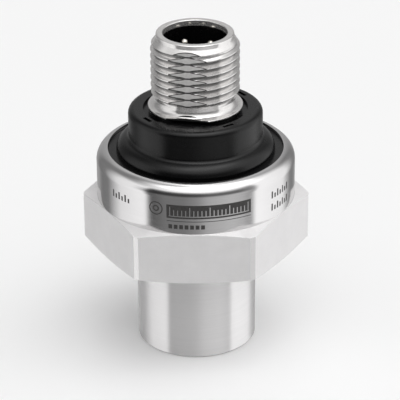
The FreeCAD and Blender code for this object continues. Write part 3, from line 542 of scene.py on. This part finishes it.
class TRANSMITTER_OT_cut_sleeve(bpy.types.Operator):
    """Turn the sleeve, cut its thread and mill its flat"""
    bl_idname = "transmitter.cut_sleeve"
    bl_label = "Cut Threaded Sleeve"

    low, high = SLEEVE_LOW.z / MM, SLEEVE_HIGH.z / MM
    rim, bore, lip, relief, skirt = 5.2, 4.8, 4.3, 5.2, 5.68   # radii
    thread_low, thread_high = low + 1.9, high - 1.6            # heights where the crests begin and end
    run_out, lead_in = 0.62, 1.0                               # heights of the cones below and above them
    first_groove = low + 0.793                                 # height at which the groove first passes +X
    root_rounding = 0.195                                      # radius at the bottom of the groove
    flank = math.tan(math.radians(30))                         # rise of the groove's side per length outwards

    def execute(self, context):
        sizes = context.scene.transmitter_sleeve
        sleeve = draw_section("nickel_sleeve", self.section(sizes.crest_radius / MM))
        spin_section(sleeve, 240)
        for width, radius in ((0.2, self.rim), (0.14, self.lip)):
            round_rings(sleeve, width, 4, [(radius, self.high)])
        cut_away(sleeve, self.die(sizes.root_radius / MM, sizes.pitch / MM))
        side = Vector((math.sin(sizes.flat_turn), -math.cos(sizes.flat_turn), 0))
        cut_away(sleeve, self.mill(sizes.flat_distance / MM, side, sizes.flat_turn))
        hanging = 0.03
        cut_flat(sleeve, self.skirt + hanging, side)
        smooth_over(sleeve, 32)
        give(sleeve, "plated_metal", "threaded_sleeve")
        self.paint(sleeve, sizes, side)
        return {"FINISHED"}

    def section(self, crest):
        """Half of the sleeve's section: flange, cove, relief, thread blank, rim, then down inside."""
        low, high, rim, bore, lip, relief = self.low, self.high, self.rim, self.bore, self.lip, self.relief
        flange = SLEEVE_HIGH.x / MM
        foot, thick, edge = low - 0.32, 0.2, 0.04
        cove = 1.02
        cove_top = foot + thick + cove
        curve = [(relief + cove - cove * math.sin(turn), cove_top - cove * math.cos(turn))
                 for turn in (math.radians(7.5 * k) for k in range(1, 12))]
        lip_height, lock, lock_low, lock_high = 0.8, 0.2, low + 0.5, low + 1.3
        return [
            (bore, low), (self.skirt, low), (self.skirt, foot), (flange - edge, foot), (flange, foot + edge),
            (flange, foot + thick - edge), (flange - edge, foot + thick), (relief + cove, foot + thick),
            *curve, (relief, cove_top), (relief, self.thread_low - self.run_out), (crest, self.thread_low),
            (crest, self.thread_high), (rim, self.thread_high + self.lead_in), (rim, high), (lip, high),
            (lip, high - lip_height), (bore, high - lip_height), (bore, lock_high), (bore + lock, lock_high),
            (bore + lock, lock_low), (bore, lock_low),
        ]

    def die(self, root, pitch):
        """The screw-shaped space between the thread's turns, rounded at its root."""
        start, tip, outer, turns = self.first_groove, self.root_rounding, 6.03, 10
        wide = tip / math.sqrt(3) + (outer - root) * self.flank
        rounded = [(root + tip - tip * math.cos(turn), start + tip * math.sin(turn))
                   for turn in (math.radians(20 * k) for k in range(-3, 4))]
        return wind_cutter("sleeve_thread_cutter", [
            *rounded, (outer, start + wide), (outer, start - wide),
        ], pitch, turns)

    def mill(self, distance, side, turn):
        """The block that the milling cutter sweeps: what lies outside the flat and above the flange."""
        wide, deep, low = 16.0, 3.0, self.low + 0.12
        tall = self.high - low + 2.0
        place = side * (distance + deep / 2) + Vector((0, 0, low + tall / 2))
        bpy.ops.mesh.primitive_cube_add(size=1.0, location=place * MM, rotation=(0, 0, turn),
                                        scale=(wide * MM, deep * MM, tall * MM))
        block = bpy.context.object
        block.name = "flat_cutter"
        return block

    def paint(self, sleeve, sizes, side):
        """Bright nickel with painted shade in the thread, and matte on the milled flat with a painted shade
        line at its edges.
        """
        thread, milled = 1, 2
        nickel = tuple(sizes.nickel)
        sleeve.data.materials.clear()
        for made in (self.nickel("nickel_finish", nickel),
                     self.nickel("thread_root_shade_finish", nickel, sizes.root_radius),
                     self.milled_nickel(nickel, sizes)):
            sleeve.data.materials.append(made)
        innermost, outermost = sizes.root_radius / MM - 0.01, sizes.crest_radius / MM - 0.02
        lowest, highest = self.low + 1.5, self.high - 1.5
        on_flat = sizes.flat_distance - 0.01 * MM
        for face in sleeve.data.polygons:
            across, height = math.hypot(face.center.x, face.center.y) / MM, face.center.z / MM
            if face.normal.dot(side) > PARALLEL and face.center.dot(side) > on_flat:
                face.material_index = milled
            elif innermost < across < outermost and lowest < height < highest:
                face.material_index = thread

    @staticmethod
    def nickel(name, colour, root=None):
        """Bright nickel, a little cloudy; a thread's has painted shade, darker towards its root."""
        finish = Finish(name)
        cloud = finish.noise(900.0, 4.0, 0.6)
        fine = finish.noise(4200.0, 3.0, 0.6)
        worn = finish.blend(finish.between(cloud, 0.0, 1.0, 0.35, 0.7), shade(colour, 0.93), colour)
        if root:
            # Painted shade: the colour darkens towards the thread's root, where the groove lies in shade.
            depth = finish.between(finish.radius(), 0.0, 1.0, root, root + 0.2 * MM)
            worn = finish.blend(depth, shade(colour, 0.25), worn)
        finish.set(Base_Color=worn, Metallic=0.74, Roughness=finish.between(cloud, 0.09, 0.16, 0.3, 0.7))
        finish.bump(fine, 0.001)
        return finish.material

    def milled_nickel(self, colour, sizes):
        """The milled flat's nickel, matte, with a painted dark shade line where the flat breaks into the
        thread.
        """
        finish = Finish("milled_nickel_edge_shade_finish")
        lines = finish.noise(1.0, 3.0, 0.6, finish.stretched((900.0, 900.0, 9000.0)))
        grain = finish.between(finish.noise(2600.0, 4.0, 0.6), 0.0, 1.0, 0.35, 0.65)
        # Painted shade: a dark line along the flat's edges, where the grooves break into it.
        painted_edge_shade = finish.between(self.edge_distance(finish, sizes), 0.0, 1.0, 0.08, 0.12)
        plain = finish.blend(grain, shade(colour, 0.74), shade(colour, 0.84))
        finish.set(Base_Color=finish.blend(painted_edge_shade, shade(colour, 0.03), plain), Metallic=0.35,
                   Roughness=finish.between(lines, 0.32, 0.42, 0.3, 0.7))
        finish.bump(lines, 0.002)
        return finish.material

    def edge_distance(self, finish, sizes):
        """Millimetres along the axis from a point of the flat to the nearest groove or cone."""
        crest, root, pitch = sizes.crest_radius / MM, sizes.root_radius / MM, sizes.pitch / MM
        tip = self.root_rounding
        x, y, z = finish.parts()
        height = finish.sum("DIVIDE", z, MM)
        across = finish.sum("DIVIDE", finish.radius(), MM)
        climbed = finish.sum("DIVIDE", finish.sum("SUBTRACT", height, self.first_groove), pitch)
        turns = finish.sum("SUBTRACT", climbed, finish.sum("DIVIDE", finish.sum("ARCTAN2", y, x), math.tau))
        off = finish.sum("ABSOLUTE", finish.sum("SUBTRACT", turns, finish.sum("ROUND", turns)))
        deep = finish.sum("MAXIMUM", finish.sum("SUBTRACT", across, root), 0.0)
        straight = finish.sum("ADD", finish.sum("MULTIPLY", deep, self.flank), tip / math.sqrt(3))
        half = finish.sum("MINIMUM", straight, finish.sum("SQRT", finish.sum("MULTIPLY", deep, 2 * tip)))
        to_groove = finish.sum("SUBTRACT", finish.sum("MULTIPLY", off, pitch), half)
        inside = finish.sum("SUBTRACT", crest, across)
        upper = finish.sum("MULTIPLY", inside, self.lead_in / (crest - self.rim))
        lower = finish.sum("MULTIPLY", inside, self.run_out / (crest - self.relief))
        to_top = finish.sum("SUBTRACT", finish.sum("ADD", upper, self.thread_high), height)
        to_bottom = finish.sum("ADD", finish.sum("SUBTRACT", height, self.thread_low), lower)
        to_end = finish.sum("SUBTRACT", finish.sum("MINIMUM", to_top, to_bottom), 0.03)
        return finish.sum("MINIMUM", to_groove, to_end)


class TRANSMITTER_OT_mark_collar(bpy.types.Operator):
    """Lay the plain laser marks on the collar: a scale in a dark band, a ring and short bars"""
    bl_idname = "transmitter.mark_collar"
    bl_label = "Mark Collar"

    bar_rows = ((-12.6, 24.75, 6), (11.5, 24.75, 7), (11.5, 22.95, 7))   # left end, height, number
    rings = ((0.96, 0.16), (0.45, 0.2))                                  # radius, width
    ring_across, ring_height = -5.16, 25.17
    mark_proud, scale_proud = 0.004, 0.008                               # heights over the collar

    def execute(self, context):
        marks = context.scene.transmitter_marks
        radius = context.scene.transmitter_housing.collar_radius / MM
        low, high = marks.band_bottom / MM, (marks.band_bottom + marks.band_height) / MM
        left, right = marks.band_start * radius, marks.band_end * radius
        dark = [self.patch(left, right, low, high), self.patch(left, right, low - 0.44, low - 0.35)]
        dark += self.squares(left + 0.25, low - 1.5, 7)
        for row in self.bar_rows:
            dark += self.bars(*row)
        for size, width in self.rings:
            dark.append(self.ring(self.ring_across, self.ring_height, size, width))
        band = self.lay(dark, "collar_marks", radius + self.mark_proud)
        scale = self.lay(self.ticks(left, right, low, high), "collar_scale", radius + self.scale_proud)
        band.data.materials.append(self.ink(tuple(marks.ink)))
        scale.data.materials.append(bpy.data.materials["turned_steel_finish"])
        return {"FINISHED"}

    def squares(self, left, low, count):
        """A row of small squares under the band."""
        side, tall, pitch = 0.5, 0.6, 0.72
        return [self.patch(left + pitch * k, left + pitch * k + side, low, low + tall) for k in range(count)]

    def bars(self, left, low, count):
        """A row of upright bars, tall and short by turns."""
        width, pitch, heights = 0.26, 0.6, (1.0, 0.62)
        return [self.patch(left + pitch * k, left + pitch * k + width, low, low + heights[k % 2])
                for k in range(count)]

    def ticks(self, left, right, low, high):
        """The scale in the band: upright strokes, each fifth one longer, on a base line."""
        count, inset, half, margin = 20, 0.45, 0.06, 0.3
        strokes = []
        for k in range(count + 1):
            at = left + inset + (right - left - 2 * inset) * k / count
            top = high - (margin if k % 5 == 0 else 0.75)
            strokes.append(self.patch(at - half, at + half, low + margin, top))
        return [*strokes, self.patch(left + margin, right - margin, low + 0.25, low + 0.37)]

    @staticmethod
    def patch(left, right, low, high):
        """Draws a flat rectangle, in steps across so that it can follow the collar."""
        step = 0.3
        piece = draw_section("patch", [(left, low), (left, high)], closed=False)
        edit(piece)
        steps = max(1, math.ceil((right - left) / step))
        for _ in range(steps):
            bpy.ops.mesh.extrude_region_move(
                TRANSFORM_OT_translate={"value": ((right - left) / steps * MM, 0, 0)})
        leave_edit()
        return piece

    @staticmethod
    def ring(across, height, radius, width):
        """Draws a flat ring."""
        deselect_everything()
        bpy.ops.mesh.primitive_circle_add(vertices=40, radius=radius * MM, rotation=(math.pi / 2, 0, 0),
                                          location=(across * MM, 0, height * MM))
        piece = bpy.context.object
        bpy.ops.object.transform_apply(location=False, rotation=True, scale=False)
        bpy.ops.object.mode_set(mode="EDIT")
        bpy.ops.mesh.extrude_region_move()
        bpy.ops.transform.resize(value=((radius - width) / radius,) * 3)
        leave_edit()
        bpy.ops.object.transform_apply(location=True, rotation=True, scale=True)
        return piece

    @staticmethod
    def lay(pieces, name, radius):
        """Joins flat drawings, bends them round the collar and gives them a thin body."""
        deselect_everything()
        for piece in pieces:
            piece.select_set(True)
        bpy.context.view_layer.objects.active = pieces[0]
        bpy.ops.object.join()
        marks = bpy.context.object
        marks.name = marks.data.name = name
        for vert in marks.data.vertices:
            turn = vert.co.x / (radius * MM)
            vert.co.x, vert.co.y = radius * MM * math.sin(turn), -radius * MM * math.cos(turn)
        edit(marks)
        bpy.ops.mesh.normals_make_consistent(inside=False)
        leave_edit()
        first = marks.data.polygons[0]
        if first.normal.dot(Vector((first.center.x, first.center.y, 0))) < 0:
            edit(marks)
            bpy.ops.mesh.flip_normals()
            leave_edit()
        finish_with(marks, "SOLIDIFY", thickness=0.012 * MM, offset=-1.0)
        marks.data.materials.clear()
        give(marks, "turned_steel")
        return marks

    @staticmethod
    def ink(colour):
        """Steel darkened by a laser, a little uneven."""
        return grained("laser_mark_finish", 2500.0, colour, shade(colour, 1.35), (0.38, 0.5), 0.002,
                       detail=4.0, metallic=0.3)


class TRANSMITTER_OT_finish_inner_parts(bpy.types.Operator):
    """Give every carried-over part its own finish"""
    bl_idname = "transmitter.finish_inner_parts"
    bl_label = "Finish Carried-Over Parts"

    def execute(self, context):
        for material, nodes in (
                (self.moulding(), ["connector_body"]),
                (self.rubber(), ["housing_seal", "cell_seal"]),
                (self.ceramic(), ["ceramic_base", "ceramic_diaphragm"]),
                (self.glass(), ["glass_joint"]),
                (self.pale_moulding(), ["support_ring"]),
                (self.board(), ["circuit_board"]),
                (self.chip(), ["signal_chip", "board_resistors", "surge_diode"]),
                (self.capacitor(), ["board_capacitors"]),
                (self.strip(), ["earth_spring"]),
                (self.contact(), ["cell_pins", *(f"contact_pin_{k}" for k in range(1, 5))])):
            for node in nodes:
                self.dress(node, material)
        return {"FINISHED"}

    @staticmethod
    def dress(node, material):
        """Puts a material on a CAD node in place of its plain one."""
        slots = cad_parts[node].data.materials
        slots.clear()
        slots.append(material)

    @staticmethod
    def moulding():
        """Black glass-filled moulding with a fine eroded grain and a little dust."""
        finish = Finish("black_moulding_finish")
        grain = finish.noise(9000.0, 3.0, 0.6)
        cloud = finish.noise(330.0, 4.0, 0.6)
        dust = finish.between(finish.noise(2400.0, 2.0, 0.5), 0.0, 0.4, 0.6, 0.8)
        finish.set(
            Base_Color=finish.blend(dust, (0.002, 0.002, 0.0022), (0.010, 0.010, 0.010)),
            Roughness=finish.between(cloud, 0.22, 0.3, 0.3, 0.7),
            Specular_IOR_Level=0.34,
        )
        finish.bump(grain, 0.006)
        return finish.material

    @staticmethod
    def rubber():
        """Black rubber of the seals."""
        return grained("seal_rubber_finish", 3500.0, (0.012, 0.012, 0.012), (0.03, 0.03, 0.03), (0.6, 0.75),
                       0.01, detail=4.0)

    @staticmethod
    def ceramic():
        """White alumina."""
        return grained("ceramic_finish", 2600.0, (0.80, 0.79, 0.75), (0.90, 0.89, 0.86), (0.45, 0.6),
                       0.004, detail=5.0)

    @staticmethod
    def glass():
        """Brown sealing glass."""
        return grained("joint_glass_finish", 1800.0, (0.16, 0.11, 0.06), (0.28, 0.20, 0.12), (0.12, 0.22))

    @staticmethod
    def pale_moulding():
        """Natural moulding of the support ring."""
        return grained("pale_moulding_finish", 5000.0, (0.62, 0.58, 0.48), (0.70, 0.66, 0.56), (0.4, 0.55),
                       0.005)

    @staticmethod
    def board():
        """Green board lacquer."""
        return grained("board_finish", 2600.0, (0.012, 0.10, 0.035), (0.02, 0.16, 0.06), (0.28, 0.4), 0.01)

    @staticmethod
    def chip():
        """Black encapsulant."""
        return grained("chip_finish", 6000.0, (0.015, 0.015, 0.016), (0.03, 0.03, 0.031), (0.45, 0.6), 0.004)

    @staticmethod
    def capacitor():
        """Tan ceramic."""
        return grained("capacitor_finish", 4000.0, (0.40, 0.27, 0.15), (0.50, 0.36, 0.22), (0.4, 0.5))

    @staticmethod
    def strip():
        """Rolled strip, with lines along it."""
        finish = Finish("spring_strip_finish")
        grain = finish.noise(1.0, 3.0, 0.6, finish.stretched((600.0, 6000.0, 600.0)))
        finish.set(Base_Color=finish.blend(grain, (0.60, 0.57, 0.50), (0.72, 0.69, 0.62)), Metallic=1.0,
                   Roughness=finish.between(grain, 0.25, 0.4))
        finish.bump(grain, 0.003)
        return finish.material

    @staticmethod
    def contact():
        """Pale gold flash over nickel."""
        return grained("contact_finish", 3000.0, (0.78, 0.74, 0.66), (0.86, 0.83, 0.77), (0.2, 0.32), 0.003,
                       metallic=1.0)


class TRANSMITTER_OT_set_stage(bpy.types.Operator):
    """Lay the floor, light the studio and place the camera"""
    bl_idname = "transmitter.set_stage"
    bl_label = "Set Stage"

    def execute(self, context):
        stage = context.scene.transmitter_stage
        self.lay_floor()
        self.light_studio(context.scene, stage)
        self.place_camera(context.scene, stage)
        context.scene.view_settings.view_transform = "Standard"
        return {"FINISHED"}

    @staticmethod
    def lay_floor():
        """A plain pale floor, which the metal doesn't mirror."""
        deselect_everything()
        bpy.ops.mesh.primitive_circle_add(vertices=96, radius=3.0, fill_type="NGON", location=(0, 0, 0))
        floor = bpy.context.object
        floor.name = floor.data.name = "pale_floor"
        finish = Finish("pale_floor_finish")
        cloud = finish.noise(3.0, 2.0)
        finish.set(Base_Color=finish.blend(cloud, (0.90, 0.90, 0.90), (0.93, 0.93, 0.93)), Roughness=0.8)
        floor.data.materials.append(finish.material)
        floor.visible_glossy = False

    @staticmethod
    def light_studio(scene, stage):
        """Soft light from all round: bright walls at both sides and overhead, greys between them."""
        world = bpy.data.worlds.new("studio")
        scene.world = world
        world.use_nodes = True
        world.node_tree.nodes.clear()
        sky = Nodes(world.node_tree, "Generated")
        x, y, z = sky.parts()
        along, aside = math.cos(stage.azimuth), math.sin(stage.azimuth)
        across = sky.sum("ADD", sky.sum("MULTIPLY", x, along), sky.sum("MULTIPLY", y, aside))
        toward = sky.sum("SUBTRACT", sky.sum("MULTIPLY", x, aside), sky.sum("MULTIPLY", y, along))
        turn = sky.sum("ADD", sky.sum("DIVIDE", sky.sum("ARCTAN2", across, toward), math.tau), 0.5)
        height = sky.sum("MULTIPLY", sky.sum("ARCSINE", z), 180 / math.pi)
        smooth = "SMOOTHSTEP"

        def ring_of_light(stops):
            """Grey all round the horizon, from (degrees, grey) pairs."""
            made = sky.node("ShaderNodeValToRGB")
            band = made.color_ramp
            band.elements.remove(band.elements[-1])
            for k, (degrees, grey) in enumerate(stops):
                place = degrees / 360 + 0.5
                element = band.elements.new(place) if k else band.elements[0]
                element.position = place
                element.color = (grey, grey, grey, 1.0)
            sky.put(made.inputs[0], turn)
            return made.outputs[0]

        # The ceiling brightens towards the zenith; a darker band runs round low in front.
        zenith = sky.between(height, 1.0, 2.2, 50.0, 70.0, smooth)
        off_band = sky.sum("ABSOLUTE", sky.sum("SUBTRACT", height, 12.0))
        dark_band = sky.between(off_band, 0.25, 1.0, 6.0, 20.0, smooth)
        front = sky.between(toward, 0.0, 1.0, 0.2, 0.7, smooth)
        dim = sky.sum("ADD", sky.sum("MULTIPLY", sky.sum("SUBTRACT", dark_band, 1.0), front), 1.0)
        walls = sky.scaled(ring_of_light(WALL_LIGHT), dim)
        ceiling = sky.scaled(ring_of_light(CEILING_LIGHT), zenith)
        studio = sky.blend(sky.between(height, 0.0, 1.0, 27.0, 44.0, smooth), walls, ceiling)
        seen = sky.node("ShaderNodeLightPath").outputs["Is Camera Ray"]
        background = sky.node("ShaderNodeBackground")
        sky.put(background.inputs["Color"], sky.blend(seen, studio, (0.95, 0.95, 0.95)))
        sky.put(background.inputs["Strength"], stage.glow)
        sky.put(sky.node("ShaderNodeOutputWorld").inputs["Surface"], background.outputs[0])

    @staticmethod
    def place_camera(scene, stage):
        """A long lens that looks down at the axis from the front, panned and rolled as set."""
        deselect_everything()
        bpy.ops.object.camera_add(location=(0, 0, 0))
        camera = bpy.context.object
        camera.name = camera.data.name = "studio_camera"
        scene.camera = camera
        camera.data.lens = stage.lens
        camera.data.sensor_width = 36.0
        camera.data.clip_start, camera.data.clip_end = 0.01, 10.0
        up, out = stage.elevation, stage.azimuth
        side = Vector((math.cos(up) * math.sin(out), -math.cos(up) * math.cos(out), math.sin(up)))
        look = (-side).to_track_quat("-Z", "Y").to_matrix().to_4x4()
        turn = look @ Matrix.Rotation(-stage.pan, 4, "Y") @ Matrix.Rotation(stage.roll, 4, "Z")
        place = Vector((0, 0, stage.aim_height)) + side * stage.distance
        camera.matrix_world = Matrix.Translation(place) @ turn


class TRANSMITTER_PT_panel(bpy.types.Panel):
    """Lists the pieces of the transmitter and their sizes"""
    bl_label = "Pressure Transmitter"
    bl_idname = "TRANSMITTER_PT_panel"
    bl_space_type = "VIEW_3D"
    bl_region_type = "UI"
    bl_category = "Transmitter"

    def draw(self, context):
        for name, settings, operators in SECTIONS:
            box = self.layout.box()
            box.label(text=name)
            if settings:
                group = getattr(context.scene, settings)
                for key in group.__annotations__:
                    box.prop(group, key)
            for operator in operators:
                box.operator(operator)


SECTIONS = (
    ("Housing", "transmitter_housing", ("transmitter.turn_housing",)),
    ("Sleeve", "transmitter_sleeve", ("transmitter.cut_sleeve",)),
    ("Marks", "transmitter_marks", ("transmitter.mark_collar",)),
    ("Carried-over parts", None, ("transmitter.finish_inner_parts",)),
    ("Stage", "transmitter_stage", ("transmitter.set_stage",)),
)
SETTINGS = {
    "transmitter_housing": HousingSettings,
    "transmitter_sleeve": SleeveSettings,
    "transmitter_marks": MarkSettings,
    "transmitter_stage": StageSettings,
}
CLASSES = (
    *SETTINGS.values(), TRANSMITTER_OT_turn_housing, TRANSMITTER_OT_cut_sleeve, TRANSMITTER_OT_mark_collar,
    TRANSMITTER_OT_finish_inner_parts, TRANSMITTER_OT_set_stage, TRANSMITTER_PT_panel,
)


def register():
    """Registers the settings, the operators and the panel."""
    for cls in CLASSES:
        bpy.utils.register_class(cls)
    for name, group in SETTINGS.items():
        setattr(bpy.types.Scene, name, PointerProperty(type=group))


def unregister():
    """Takes them all away again."""
    for name in SETTINGS:
        delattr(bpy.types.Scene, name)
    for cls in reversed(CLASSES):
        bpy.utils.unregister_class(cls)


def main():
    """Builds the whole transmitter on its stage."""
    register()
    for _, _, operators in SECTIONS:
        for operator in operators:
            group, call = operator.split(".")
            getattr(getattr(bpy.ops, group), call)()


if __name__ == "__main__":
    main()
